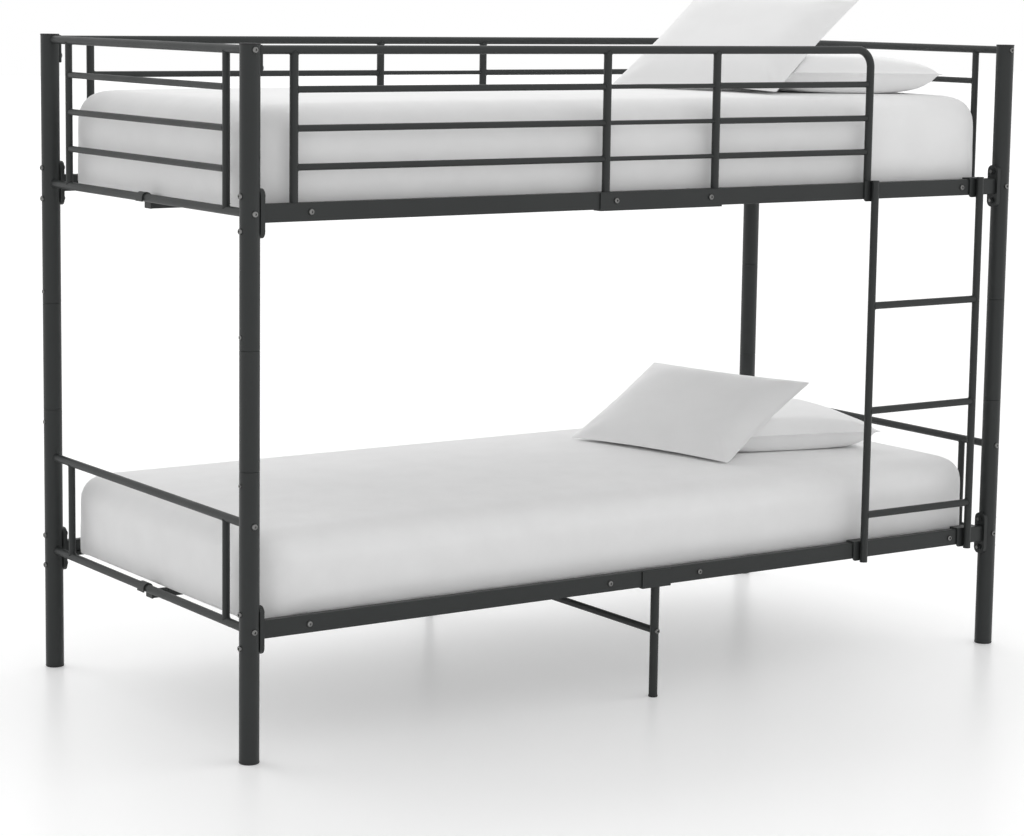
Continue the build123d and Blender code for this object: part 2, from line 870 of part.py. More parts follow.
with BuildPart() as leg_cross_bar:
    bar((leg_x, -post_y, leg_bar_z), (leg_x, post_y, leg_bar_z), leg_bar_radius)
    for side in sides.values():
        bar(
            (leg_x, side * post_y, 0),
            (leg_x, side * post_y, lower_base_z),
            leg_radius + fit_clearance,
            Mode.SUBTRACT,
        )
        bar(
            (leg_x, side * post_y, leg_bar_z),
            (leg_x, side * (post_y - leg_radius - leg_bar_plug_length), leg_bar_z),
            bolt_hole_radius,
            Mode.SUBTRACT,
        )
save(leg_cross_bar, "leg_cross_bar")

with BuildPart() as leg_feet:
    for side in sides.values():
        plug = leg_bore - fit_clearance
        turned(leg_x, side * post_y, [
            (0, 0),
            (leg_radius + leg_foot_overhang - leg_foot_bevel, 0),
            (leg_radius + leg_foot_overhang, leg_foot_bevel),
            (leg_radius + leg_foot_overhang, leg_foot_flange),
            (plug, leg_foot_flange),
            (plug, leg_foot_flange + leg_foot_plug_length),
            (0, leg_foot_flange + leg_foot_plug_length),
        ])
save(leg_feet, "leg_feet")

with BuildPart() as leg_bolts:
    for side in sides.values():
        bolt(
            (leg_x, side * (post_y + leg_radius), leg_bar_z),
            (0, -side, 0),
            2 * leg_radius + leg_bar_plug_length - bolt_tail,
        )
save(leg_bolts, "leg_bolts")


# Ladder

def ladder_hook(stile_x, base_z, strap_left_x):
    """Weld one hook: a plate before the beam and a strap bent over it and down behind it."""
    top = base_z + hook_top_rise
    bottom = base_z - beam_height / 2 - hook_bottom_drop
    left_x = stile_x - hook_left_reach
    right_x = stile_x + hook_right_reach
    with BuildSketch(Plane(origin=(0, -hook_back, 0), x_dir=(1, 0, 0), z_dir=(0, -1, 0))) as plate:
        with BuildLine():
            FilletPolyline(
                (left_x, top),
                (left_x, bottom),
                (right_x, bottom),
                (right_x, top),
                radius=hook_corner,
            )
            Line((right_x, top), (left_x, top))
        make_face()
    extrude(plate.sketch, amount=hook_thickness)
    inner_y = -(beam_inner - running_clearance)
    low = top - hook_thickness - hook_rear_drop
    across(
        [
            (-hook_back, top),
            (inner_y + hook_thickness, top),
            (inner_y + hook_thickness, low),
            (inner_y, low),
            (inner_y, top - hook_thickness),
            (-hook_back, top - hook_thickness),
        ],
        strap_left_x,
        right_x,
    )


with BuildPart() as ladder:
    socket = stile_radius - stile_wall
    for stile_x in (ladder_left_x, ladder_right_x):
        bar((stile_x, stile_y, stile_bottom_z), (stile_x, stile_y, stile_top_z), stile_radius)
        for base_z in levels.values():
            strap_left_x = stile_x - hook_left_reach
            if (stile_x, base_z) == (ladder_left_x, upper_base_z):
                strap_left_x = guard_front_end_x + rail_radius + hook_post_gap
            ladder_hook(stile_x, base_z, strap_left_x)
    for index in range(rung_count):
        z = rung_low_z + rung_pitch * index
        bar((ladder_left_x, stile_y, z), (ladder_right_x, stile_y, z), rung_radius)
    depth = stile_plug_length + socket_extra
    for stile_x in (ladder_left_x, ladder_right_x):
        for end_z, inward in ((stile_bottom_z, depth), (stile_top_z, -depth)):
            bar((stile_x, stile_y, end_z), (stile_x, stile_y, end_z + inward), socket, Mode.SUBTRACT)
save(ladder, "ladder")

with BuildPart() as ladder_end_plugs:
    for stile_x in (ladder_left_x, ladder_right_x):
        for seat_z, outward in ((stile_bottom_z, -1), (stile_top_z, 1)):
            bar(
                (stile_x, stile_y, seat_z),
                (stile_x, stile_y, seat_z + outward * stile_plug_flange),
                stile_radius,
            )
            bar(
                (stile_x, stile_y, seat_z - outward * stile_plug_length),
                (stile_x, stile_y, seat_z),
                stile_radius - stile_wall - fit_clearance,
            )
save(ladder_end_plugs, "ladder_end_plugs")


# Bedding

def mattress_outline(height, inset):
    """Outline of a slice across a mattress: flat below, swelling at the sides and crowned on top."""
    half_width = mattress_width / 2 - mattress_bulge - inset
    top = height - mattress_crown - inset
    corner = min(mattress_corner, (top - inset) * mattress_corner_limit_share)
    flat_y = half_width - corner
    low_z = inset + corner
    high_z = top - corner
    slant = corner - corner * cos(radians(45))
    swell = (half_width + mattress_bulge, (inset + top) / 2)
    with BuildLine() as outline:
        ThreePointArc((flat_y, inset), (half_width - slant, inset + slant), (half_width, low_z))
        ThreePointArc((half_width, low_z), swell, (half_width, high_z))
        ThreePointArc((half_width, high_z), (half_width - slant, top - slant), (flat_y, top))
        mirror(about=Plane.YZ)
        ThreePointArc((flat_y, top), (0, height - inset), (-flat_y, top))
        Line((-flat_y, inset), (flat_y, inset))
    return outline.line


def mattress(bottom_z, height):
    """Loft a mattress along X, with its ends rounded over."""
    half_length = mattress_length / 2
    stations = []
    for share in mattress_round_shares:
        rounded = 1 - (1 - (1 - share) ** 2) ** 0.5
        stations.append((half_length - mattress_end_round * share, mattress_end_round * rounded))
    slices = []
    for x, inset in [(-x, inset) for x, inset in stations] + stations[::-1]:
        plane = Plane(origin=(x, 0, bottom_z), x_dir=(0, 1, 0), z_dir=(1, 0, 0))
        with BuildSketch(plane, mode=Mode.PRIVATE) as profile:
            make_face(mattress_outline(height, inset))
        slices.append(profile.sketch)
    loft(slices, ruled=True)


def pillow(frame, length, width):
    """Loft a pillow about a plane at its middle, thick in the middle and drawn in between its corners."""
    slices = []
    for share in pillow_slice_shares:
        fullness = (1 - share ** 2) ** 0.5
        half_width = width / 2 - pillow_draw * fullness
        least = pillow_edge + pillow_swell
        half_thickness = least + (pillow_thickness / 2 - least) * fullness
        plane = Plane(
            origin=frame.origin + frame.x_dir * (share * length / 2),
            x_dir=frame.y_dir,
            z_dir=frame.x_dir,
        )
        with BuildSketch(plane, mode=Mode.PRIVATE) as profile:
            with BuildLine():
                Line((half_width, -pillow_edge), (half_width, pillow_edge))
                ThreePointArc((half_width, pillow_edge), (0, half_thickness), (-half_width, pillow_edge))
                Line((-half_width, pillow_edge), (-half_width, -pillow_edge))
                ThreePointArc((-half_width, -pillow_edge), (0, -half_thickness), (half_width, -pillow_edge))
            make_face()
        slices.append(profile.sketch)
    loft(slices)


def leaning_frame(edge, turn, lean, width, rest_z):
    """Plane at the middle of a pillow that leans back from its near edge."""
    along = Vector(sin(radians(turn)), cos(radians(turn)), 0) * -1
    level = Vector(cos(radians(turn)), -sin(radians(turn)), 0)
    rise = level * cos(radians(lean)) + Vector(0, 0, sin(radians(lean)))
    origin = Vector(*edge, rest_z - pillow_settle) + rise * (width / 2)
    return Plane(origin=origin, x_dir=along, z_dir=along.cross(rise))


def flat_frame(centre, turn, rest_z):
    """Plane at the middle of a pillow that lies flat and is pressed flat below."""
    along = Vector(-sin(radians(turn)), cos(radians(turn)), 0)
    middle_z = rest_z + pillow_thickness / 2 - pillow_sink
    return Plane(origin=(*centre, middle_z), x_dir=along, z_dir=(0, 0, 1))


bedding = {
    "lower": (
        lower_base_z,
        lower_mattress_height,
        (post_x - lower_front_pillow_setback, lower_front_pillow_y),
        lower_front_turn_degrees,
        lower_front_lean_degrees,
        lower_front_pillow_width,
        (post_x - lower_rear_pillow_setback, lower_rear_pillow_y),
        lower_rear_turn_degrees,
    ),
    "upper": (
        upper_base_z,
        upper_mattress_height,
        (post_x - upper_front_pillow_setback, upper_front_pillow_y),
        upper_front_turn_degrees,
        upper_front_lean_degrees,
        upper_front_pillow_width,
        (post_x - upper_rear_pillow_setback, upper_rear_pillow_y),
        upper_rear_turn_degrees,
    ),
}
for level_name, (base_z, height, edge, front_turn, lean, width, centre, rear_turn) in bedding.items():
    mattress_z = base_z + slat_top_rise + soft_clearance
    rest_z = mattress_z + height + soft_clearance

    with BuildPart() as bunk_mattress:
        mattress(mattress_z, height)
    save(bunk_mattress, f"{level_name}_mattress")

    front_frame = leaning_frame(edge, front_turn, lean, width, rest_z)
    with BuildPart() as front_pillow:
        pillow(front_frame, front_pillow_length, width)
        split(bisect_by=Plane(origin=(0, 0, rest_z), z_dir=(0, 0, 1)), keep=Keep.TOP)
    save(front_pillow, f"{level_name}_front_pillow")

    with BuildPart() as rear_pillow:
        pillow(flat_frame(centre, rear_turn, rest_z), rear_pillow_length, rear_pillow_width)
        split(bisect_by=Plane(origin=(0, 0, rest_z), z_dir=(0, 0, 1)), keep=Keep.TOP)
        up = front_frame.z_dir if front_frame.z_dir.Z > 0 else -front_frame.z_dir
        cut = front_frame.origin - up * (pillow_thickness / 2 + pillow_gap)
        split(bisect_by=Plane(origin=cut, z_dir=up), keep=Keep.BOTTOM)
    save(rear_pillow, f"{level_name}_rear_pillow")
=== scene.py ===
# Bunk bed: powder-coated steel frame with white bedding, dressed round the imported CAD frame.
import bpy
import json
import math
from mathutils import Matrix, Vector
from mathutils.bvhtree import BVHTree


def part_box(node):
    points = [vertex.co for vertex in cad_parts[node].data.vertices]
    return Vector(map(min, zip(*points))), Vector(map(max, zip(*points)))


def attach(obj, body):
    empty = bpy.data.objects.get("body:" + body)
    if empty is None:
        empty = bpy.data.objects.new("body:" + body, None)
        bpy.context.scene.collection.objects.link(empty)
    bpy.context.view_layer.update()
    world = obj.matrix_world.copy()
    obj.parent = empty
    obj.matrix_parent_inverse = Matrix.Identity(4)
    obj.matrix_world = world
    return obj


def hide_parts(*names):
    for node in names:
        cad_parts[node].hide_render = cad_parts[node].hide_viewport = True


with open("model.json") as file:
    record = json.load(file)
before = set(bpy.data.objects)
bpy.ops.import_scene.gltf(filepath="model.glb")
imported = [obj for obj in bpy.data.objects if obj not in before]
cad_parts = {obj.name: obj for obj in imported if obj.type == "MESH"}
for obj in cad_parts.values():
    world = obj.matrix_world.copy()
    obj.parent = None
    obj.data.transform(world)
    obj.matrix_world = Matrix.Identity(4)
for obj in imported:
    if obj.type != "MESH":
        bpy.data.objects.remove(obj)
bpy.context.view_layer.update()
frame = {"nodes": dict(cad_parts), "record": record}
scene = bpy.context.scene
scene.view_settings.view_transform = "Standard"
print("frame loaded")

# What the camera sees: fitted to the posts, beams and rails of the photograph
cameraSetup = {
    "location": (-3.6118, -5.2395, 1.5666),
    "yaw": 0.59449,
    "pitch": 0.13266,
    "roll": 0.014185,
    "focalPixels": 2713.2,
    "imageWidth": 1024,
    "imageHeight": 836,
    "axisRow": 357.0,
}


def addCamera(setup):
    data = bpy.data.cameras.new("photoCamera")
    camera = bpy.data.objects.new("photoCamera", data)
    scene.collection.objects.link(camera)
    data.sensor_width = 36.0
    data.lens = setup["focalPixels"] * data.sensor_width / setup["imageWidth"]
    data.shift_y = (setup["axisRow"] - setup["imageHeight"] / 2) / setup["imageWidth"]
    data.clip_start = 0.05
    data.clip_end = 200
    turn = (
        Matrix.Rotation(-setup["yaw"], 4, "Z")
        @ Matrix.Rotation(math.pi / 2 - setup["pitch"], 4, "X")
        @ Matrix.Rotation(setup["roll"], 4, "Z")
    )
    camera.matrix_world = Matrix.Translation(setup["location"]) @ turn
    scene.camera = camera


addCamera(cameraSetup)
print("camera set")


# Small helpers for building shader trees

def newGroup(name, inputs, outputs):
    group = bpy.data.node_groups.new(name, "ShaderNodeTree")
    for label, kind, value in inputs:
        socket = group.interface.new_socket(name=label, in_out="INPUT", socket_type=kind)
        if value is not None:
            socket.default_value = value
    for label, kind in outputs:
        group.interface.new_socket(name=label, in_out="OUTPUT", socket_type=kind)
    return group, group.nodes.new("NodeGroupInput"), group.nodes.new("NodeGroupOutput")


def noiseNode(tree, vector, scale, detail, roughness=0.5):
    node = tree.nodes.new("ShaderNodeTexNoise")
    node.inputs["Scale"].default_value = scale
    node.inputs["Detail"].default_value = detail
    node.inputs["Roughness"].default_value = roughness
    tree.links.new(vector, node.inputs["Vector"])
    return node.outputs["Fac"]


def mapRange(tree, value, fromLow, fromHigh, toLow, toHigh):
    node = tree.nodes.new("ShaderNodeMapRange")
    tree.links.new(value, node.inputs["Value"])
    node.inputs["From Min"].default_value = fromLow
    node.inputs["From Max"].default_value = fromHigh
    node.inputs["To Min"].default_value = toLow
    node.inputs["To Max"].default_value = toHigh
    return node.outputs["Result"]


def mathNode(tree, operation, *values):
    node = tree.nodes.new("ShaderNodeMath")
    node.operation = operation
    for index, value in enumerate(values):
        if isinstance(value, (int, float)):
            node.inputs[index].default_value = value
        else:
            tree.links.new(value, node.inputs[index])
    return node.outputs["Value"]


# Powder coat: a fine orange-peel grain, with slow changes of shade

grainSetup = {"fineDetail": 3.0, "slowScale": 9.0, "slowDetail": 4.0, "low": 0.3, "high": 0.7}


def buildCoatGrain(setup):
    group, source, sink = newGroup(
        "powderCoatGrain",
        [("Vector", "NodeSocketVector", None), ("Grain", "NodeSocketFloat", 1100.0)],
        [("Height", "NodeSocketFloat"), ("Shade", "NodeSocketFloat")],
    )
    fine = group.nodes.new("ShaderNodeTexNoise")
    fine.inputs["Detail"].default_value = setup["fineDetail"]
    group.links.new(source.outputs["Vector"], fine.inputs["Vector"])
    group.links.new(source.outputs["Grain"], fine.inputs["Scale"])
    slow = noiseNode(group, source.outputs["Vector"], setup["slowScale"], setup["slowDetail"])
    for value, label in ((fine.outputs["Fac"], "Height"), (slow, "Shade")):
        spread = mapRange(group, value, setup["low"], setup["high"], 0.0, 1.0)
        group.links.new(spread, sink.inputs[label])
    return group


# Plain weave: crossing threads with slubs, and a cloudy shade over the whole cloth

weaveSetup = {
    "tilt": 0.71,
    "threadShare": 0.6,
    "slub": (420.0, 2.0),
    "cloud": (14.0, 5.0),
    "rumple": (7.0, 3.0),
    "low": 0.3,
    "high": 0.7,
}


def buildClothWeave(setup):
    group, source, sink = newGroup(
        "clothWeave",
        [("Vector", "NodeSocketVector", None), ("Threads", "NodeSocketFloat", 1500.0)],
        [("Height", "NodeSocketFloat"), ("Shade", "NodeSocketFloat"), ("Rumple", "NodeSocketFloat")],
    )
    split = group.nodes.new("ShaderNodeSeparateXYZ")
    group.links.new(source.outputs["Vector"], split.inputs["Vector"])
    tilt = mathNode(group, "MULTIPLY", split.outputs["Z"], setup["tilt"])
    waves = []
    for direction in ("X", "Y"):
        run = mathNode(group, "ADD", split.outputs[direction], tilt)
        phase = mathNode(group, "MULTIPLY", run, source.outputs["Threads"])
        waves.append(mathNode(group, "ABSOLUTE", mathNode(group, "SINE", phase)))
    threads = mathNode(group, "MAXIMUM", *waves)
    slub = noiseNode(group, source.outputs["Vector"], *setup["slub"])
    cloud = noiseNode(group, source.outputs["Vector"], *setup["cloud"])
    rumple = noiseNode(group, source.outputs["Vector"], *setup["rumple"])
    height = mathNode(group, "MULTIPLY_ADD", threads, setup["threadShare"], slub)
    group.links.new(height, sink.inputs["Height"])
    group.links.new(mapRange(group, cloud, setup["low"], setup["high"], 0.0, 1.0), sink.inputs["Shade"])
    group.links.new(rumple, sink.inputs["Rumple"])
    return group


coatGrain = buildCoatGrain(grainSetup)
clothWeave = buildClothWeave(weaveSetup)


def newMaterial(name):
    material = bpy.data.materials.new(name)
    material.use_nodes = True
    tree = material.node_tree
    return material, tree, tree.nodes["Principled BSDF"], tree.nodes.new("ShaderNodeTexCoord")


def placeGroup(tree, group, vector, label, value):
    node = tree.nodes.new("ShaderNodeGroup")
    node.node_tree = group
    node.inputs[label].default_value = value
    tree.links.new(vector, node.inputs["Vector"])
    return node


def blendColours(tree, factor, dark, light):
    mix = tree.nodes.new("ShaderNodeMix")
    mix.data_type = "RGBA"
    mix.inputs["A"].default_value = (*dark, 1)
    mix.inputs["B"].default_value = (*light, 1)
    tree.links.new(factor, mix.inputs["Factor"])
    return mix.outputs["Result"]


def addBump(tree, height, strength, distance, normal=None):
    bump = tree.nodes.new("ShaderNodeBump")
    bump.inputs["Strength"].default_value = strength
    bump.inputs["Distance"].default_value = distance
    tree.links.new(height, bump.inputs["Height"])
    if normal:
        tree.links.new(normal, bump.inputs["Normal"])
    return bump.outputs["Normal"]


frameCoat = {
    "grain": 1100.0,
    "dark": (0.019, 0.0213, 0.0210),
    "light": (0.025, 0.0277, 0.0273),
    "roughLow": 0.40,
    "roughHigh": 0.52,
    "bump": 0.14,
    "depth": 0.0005,
    "specular": 0.36,
}
capPlastic = {
    "grain": 800.0,
    "dark": (0.012, 0.012, 0.013),
    "light": (0.018, 0.018, 0.019),
    "roughLow": 0.45,
    "roughHigh": 0.6,
    "bump": 0.1,
    "depth": 0.0004,
    "specular": 0.4,
}
boltZinc = {
    "grain": 2400.0,
    "dark": (0.15, 0.15, 0.148),
    "light": (0.24, 0.24, 0.236),
    "roughLow": 0.22,
    "roughHigh": 0.34,
    "bump": 0.08,
    "depth": 0.0003,
    "specular": 0.5,
}
mattressCover = {
    "threads": 1500.0,
    "dark": (0.89, 0.89, 0.89),
    "light": (0.92, 0.92, 0.92),
    "rough": 0.85,
    "sheen": 0.12,
    "bump": 0.2,
    "depth": 0.0005,
    "rumple": 0.004,
    "rumpleStrength": 0.5,
    "specular": 0.2,
    "sheenRough": 0.5,
}
pillowCover = {
    "threads": 1900.0,
    "dark": (0.91, 0.91, 0.91),
    "light": (0.93, 0.93, 0.93),
    "rough": 0.8,
    "sheen": 0.15,
    "bump": 0.15,
    "depth": 0.0004,
    "rumple": 0.006,
    "rumpleStrength": 0.5,
    "specular": 0.2,
    "sheenRough": 0.5,
}


def coatMaterial(name, setup, metallic=0.0):
    material, tree, shader, place = newMaterial(name)
    grain = placeGroup(tree, coatGrain, place.outputs["Object"], "Grain", setup["grain"])
    colour = blendColours(tree, grain.outputs["Shade"], setup["dark"], setup["light"])
    rough = mapRange(tree, grain.outputs["Shade"], 0.0, 1.0, setup["roughLow"], setup["roughHigh"])
    tree.links.new(colour, shader.inputs["Base Color"])
    tree.links.new(rough, shader.inputs["Roughness"])
    normal = addBump(tree, grain.outputs["Height"], setup["bump"], setup["depth"])
    tree.links.new(normal, shader.inputs["Normal"])
    shader.inputs["Metallic"].default_value = metallic
    shader.inputs["Specular IOR Level"].default_value = setup["specular"]
    return material


def clothMaterial(name, setup):
    material, tree, shader, place = newMaterial(name)
    weave = placeGroup(tree, clothWeave, place.outputs["Object"], "Threads", setup["threads"])
    colour = blendColours(tree, weave.outputs["Shade"], setup["dark"], setup["light"])
    tree.links.new(colour, shader.inputs["Base Color"])
    soft = addBump(tree, weave.outputs["Rumple"], setup["rumpleStrength"], setup["rumple"])
    normal = addBump(tree, weave.outputs["Height"], setup["bump"], setup["depth"], soft)
    tree.links.new(normal, shader.inputs["Normal"])
    shader.inputs["Roughness"].default_value = setup["rough"]
    shader.inputs["Specular IOR Level"].default_value = setup["specular"]
    shader.inputs["Sheen Weight"].default_value = setup["sheen"]
    shader.inputs["Sheen Roughness"].default_value = setup["sheenRough"]
    return material


materials = {
    "frame_coat": coatMaterial("frameCoat", frameCoat),
    "cap_plastic": coatMaterial("capPlastic", capPlastic),
    "bolt_zinc": coatMaterial("boltZinc", boltZinc, metallic=1.0),
    "mattress_cover": clothMaterial("mattressCover", mattressCover),
    "pillow_cover": clothMaterial("pillowCover", pillowCover),
}
slotOfNode = {part["node"]: part["material_slot"] for part in frame["record"]["subparts"]}
for nodeName, node in frame["nodes"].items():
    node.data.materials.clear()
    node.data.materials.append(materials[slotOfNode[nodeName]])
print("materials made")


# Small helpers for modelling

def deselectAll():
    bpy.ops.object.select_all(action="DESELECT")


def useOnly(piece):
    deselectAll()
    piece.select_set(True)
    bpy.context.view_layer.objects.active = piece


def applyModifier(piece, name):
    useOnly(piece)
    bpy.ops.object.modifier_apply(modifier=name)


def applyPlace(piece):
    useOnly(piece)
    bpy.ops.object.transform_apply(location=True, rotation=True, scale=True)


def copyPiece(piece, matrix):
    copy = piece.copy()
    copy.data = piece.data.copy()
    scene.collection.objects.link(copy)
    copy.matrix_world = matrix
    return copy


def joinPieces(parts, name):
    deselectAll()
    for part in parts:
        part.select_set(True)
    bpy.context.view_layer.objects.active = parts[0]
    bpy.ops.object.join()
    joined = bpy.context.object
    joined.name = name
    applyPlace(joined)
    return joined


def bevelEdges(piece, wanted, offset, segments):
    # bevels the edges whose lower and higher ends pass the wanted test
    for part in (*piece.data.polygons, *piece.data.vertices):
        part.select = False
    for edge in piece.data.edges:
        ends = sorted((piece.data.vertices[index].co for index in edge.vertices), key=lambda point: point.z)
        edge.select = wanted(*ends)
    useOnly(piece)
    bpy.ops.object.mode_set(mode="EDIT")
    bpy.ops.mesh.select_mode(type="EDGE")
    bpy.ops.mesh.bevel(offset=offset, segments=segments, profile=0.5)
    bpy.ops.object.mode_set(mode="OBJECT")


def finishPiece(piece, body, slot, nodes=(), angle=None):
    piece.data.materials.clear()
    piece.data.materials.append(materials[slot])
    useOnly(piece)
    if angle:
        bpy.ops.object.shade_smooth_by_angle(angle=math.radians(angle))
    else:
        bpy.ops.object.shade_smooth()
    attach(piece, body)
    if nodes:
        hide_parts(*nodes)


# Bolts: button heads with a hexagon socket, on a plain shank

boltSetup = {
    "headRadius": 0.0062,
    "headHeight": 0.0042,
    "domeBevel": 0.0022,
    "socketWidth": 0.0028,
    "socketDepth": 0.0026,
    "shankRadius": 0.004,
    "sides": 28,
    "domeSteps": 5,
}
screwSetup = {
    "headRadius": 0.0046,
    "headHeight": 0.0024,
    "domeBevel": 0.0014,
    "socketWidth": 0.0018,
    "socketDepth": 0.0014,
    "shankRadius": 0.0025,
    "sides": 28,
    "domeSteps": 5,
}


def makeBolt(setup, length):
    # head upwards from the seat at the origin, shank downwards
    deselectAll()
    bpy.ops.mesh.primitive_cylinder_add(
        vertices=setup["sides"],
        radius=setup["headRadius"],
        depth=setup["headHeight"],
        location=(0, 0, setup["headHeight"] / 2),
    )
    head = bpy.context.object
    applyPlace(head)
    half = setup["headHeight"] / 2
    bevelEdges(head, lambda low, high: low.z > half, setup["domeBevel"], setup["domeSteps"])
    deselectAll()
    bpy.ops.mesh.primitive_cylinder_add(
        vertices=6,
        radius=setup["socketWidth"],
        depth=2 * setup["socketDepth"],
        location=(0, 0, setup["headHeight"]),
    )
    tool = bpy.context.object
    socket = head.modifiers.new("socket", "BOOLEAN")
    socket.operation = "DIFFERENCE"
    socket.solver = "EXACT"
    socket.object = tool
    applyModifier(head, "socket")
    bpy.data.objects.remove(tool)
    deselectAll()
    bpy.ops.mesh.primitive_cylinder_add(
        vertices=16, radius=setup["shankRadius"], depth=length, location=(0, 0, -length / 2)
    )
    return joinPieces([head, bpy.context.object], "bolt")


def placeBolts(name, setup, length, seats):
    pattern = makeBolt(setup, length)
    copies = []
    for seat, outward in seats:
        turn = Vector(outward).to_track_quat("Z", "Y").to_matrix().to_4x4()
        copies.append(copyPiece(pattern, Matrix.Translation(seat) @ turn))
    bpy.data.objects.remove(pattern)
    bolts = joinPieces(copies, name)
    finishPiece(bolts, "frame", "bolt_zinc", (name,), angle=40)
    return bolts


def boxMiddle(nodeName):
    low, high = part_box(nodeName)
    return (Vector(low) + Vector(high)) / 2


postPlace = {}
for corner in ("foot_front", "foot_rear", "head_front", "head_rear"):
    postPlace[corner] = boxMiddle(corner + "_upper_post")
postX = postPlace["head_rear"].x
postY = postPlace["head_rear"].y
railRow = {"lowerBase": 0.277, "lowerPanelTop": 0.495, "upperBase": 1.127, "top": 1.452}
lowerBase = railRow["lowerBase"]
upperBase = railRow["upperBase"]
boltPlaces = {
    "postRadius": 0.021,
    "beamFace": 0.010,
    "joinerWall": 0.003,
    "bracketSpread": 0.035,
    "screwRows": (0.577, 0.879),
    "beamEnd": 0.890,
    "lowerBeamMiddle": 0.125,
    "upperBeamMiddle": 0.130,
    "guardTab": 0.0245,
    "guardRow": 1.416,
    "legX": 0.008,
    "legRow": 0.153,
}
boltLengths = {
    "panel_bolts": 0.064,
    "bracket_bolts": 0.0545,
    "section_screws": 0.005,
    "beam_bolts": 0.015,
    "guard_bolts": 0.012,
    "leg_bolts": 0.038,
}


def boltSeats(places):
    # where each head sits, and which way it faces
    seats = {name: [] for name in boltLengths}
    beamFace = postY + places["beamFace"]
    for place in postPlace.values():
        end = math.copysign(1, place.x)
        side = math.copysign(1, place.y)
        outerX = place.x + end * places["postRadius"]
        outerY = place.y + side * places["postRadius"]
        for z in railRow.values():
            seats["panel_bolts"].append(((place.x, outerY, z), (0, side, 0)))
        for base in (lowerBase, upperBase):
            for z in (base - places["bracketSpread"], base + places["bracketSpread"]):
                seats["bracket_bolts"].append(((outerX, place.y, z), (end, 0, 0)))
        for z in places["screwRows"]:
            seats["section_screws"].append(((outerX, place.y, z), (end, 0, 0)))
        for x, y, z in (
            (places["beamEnd"], beamFace, lowerBase),
            (places["beamEnd"], beamFace, upperBase),
            (places["lowerBeamMiddle"], beamFace, lowerBase),
            (places["upperBeamMiddle"], beamFace + places["joinerWall"], upperBase),
        ):
            seats["beam_bolts"].append(((end * x, side * y, z), (0, side, 0)))
    for corner in ("foot_front", "foot_rear", "head_rear"):
        place = postPlace[corner]
        end = math.copysign(1, place.x)
        seat = (place.x - end * places["guardTab"], place.y, places["guardRow"])
        seats["guard_bolts"].append((seat, (-end, 0, 0)))
    for side in (-1, 1):
        seats["leg_bolts"].append(((places["legX"], side * beamFace, places["legRow"]), (0, side, 0)))
    return seats


for name, seats in boltSeats(boltPlaces).items():
    placeBolts(name, screwSetup if name == "section_screws" else boltSetup, boltLengths[name], seats)
print("bolts placed")


# Welds: a small rippled bead round each rod, bar and rung where it meets its rail

weldSetup = {"beadRadius": 0.0016, "proud": 0.0002, "ripple": 0.00025, "ripples": 22, "steps": 44, "sides": 6}


def makeWeld(seat, branch, run, branchRadius, runRadius, setup):
    # seat lies on the run's middle line, and the branch leaves it along the branch direction
    deselectAll()
    bpy.ops.mesh.primitive_torus_add(
        major_segments=setup["steps"],
        minor_segments=setup["sides"],
        major_radius=branchRadius + setup["proud"],
        minor_radius=setup["beadRadius"],
    )
    bead = bpy.context.object
    for vertex in bead.data.vertices:
        angle = math.atan2(vertex.co.y, vertex.co.x)
        ripple = 1 + setup["ripple"] / branchRadius * math.sin(angle * setup["ripples"])
        saddle = math.sqrt(max(runRadius**2 - (branchRadius * math.sin(angle)) ** 2, 0))
        vertex.co = Vector((vertex.co.x * ripple, vertex.co.y * ripple, vertex.co.z + saddle))
    up = Vector(branch).normalized()
    along = Vector(run).normalized()
    turn = Matrix((along, up.cross(along), up)).transposed().to_4x4()
    bead.matrix_world = Matrix.Translation(seat) @ turn
    return bead


weldPlaces = {
    "railRadius": 0.009,
    "rodRadius": 0.008,
    "barRadius": 0.007,
    "rungRadius": 0.0085,
    "railFit": 1.02,
    "rodFromPost": 0.100,
    "panelBars": (1.2105, 1.293, 1.3755),
    "guardBars": (1.217, 1.295, 1.373),
    "guardInner": 0.150,
    "guardOuter": 0.925,
    "bentGuardOuter": 0.600,
    "rungs": (0.363, 0.611, 0.859),
    "stiles": (0.607, 0.938),
}


def panelWelds(places):
    rail = places["railRadius"]
    rod = places["rodRadius"]
    rodY = postY - places["rodFromPost"]
    beads = []
    for x in (-postX, postX):
        for bottom, top, bars in (
            (lowerBase, railRow["lowerPanelTop"], ()),
            (upperBase, railRow["top"], places["panelBars"]),
        ):
            for side in (-1, 1):
                y = side * rodY
                beads.append(makeWeld((x, y, bottom), (0, 0, 1), (0, 1, 0), rod, rail, weldSetup))
                beads.append(makeWeld((x, y, top), (0, 0, -1), (0, 1, 0), rod, rail, weldSetup))
                for z in bars:
                    beads.append(
                        makeWeld((x, y, z), (0, -side, 0), (0, 0, 1), places["barRadius"], rod, weldSetup)
                    )
    return beads


def guardWelds(places):
    rail = places["railRadius"]
    inner = places["guardInner"]
    beads = []
    for side in (-1, 1):
        for end in (-1, 1):
            bent = side < 0 < end
            outer = places["bentGuardOuter"] if bent else places["guardOuter"]
            y = side * postY
            for x in (inner,) if bent else (inner, outer):
                seat = (end * x, y, railRow["top"])
                beads.append(makeWeld(seat, (0, 0, -1), (1, 0, 0), rail, rail * places["railFit"], weldSetup))
            for z in places["guardBars"]:
                for x, way in ((inner, end), (outer, -end)):
                    seat = (end * x, y, z)
                    beads.append(makeWeld(seat, (way, 0, 0), (0, 0, 1), places["barRadius"], rail, weldSetup))
    return beads


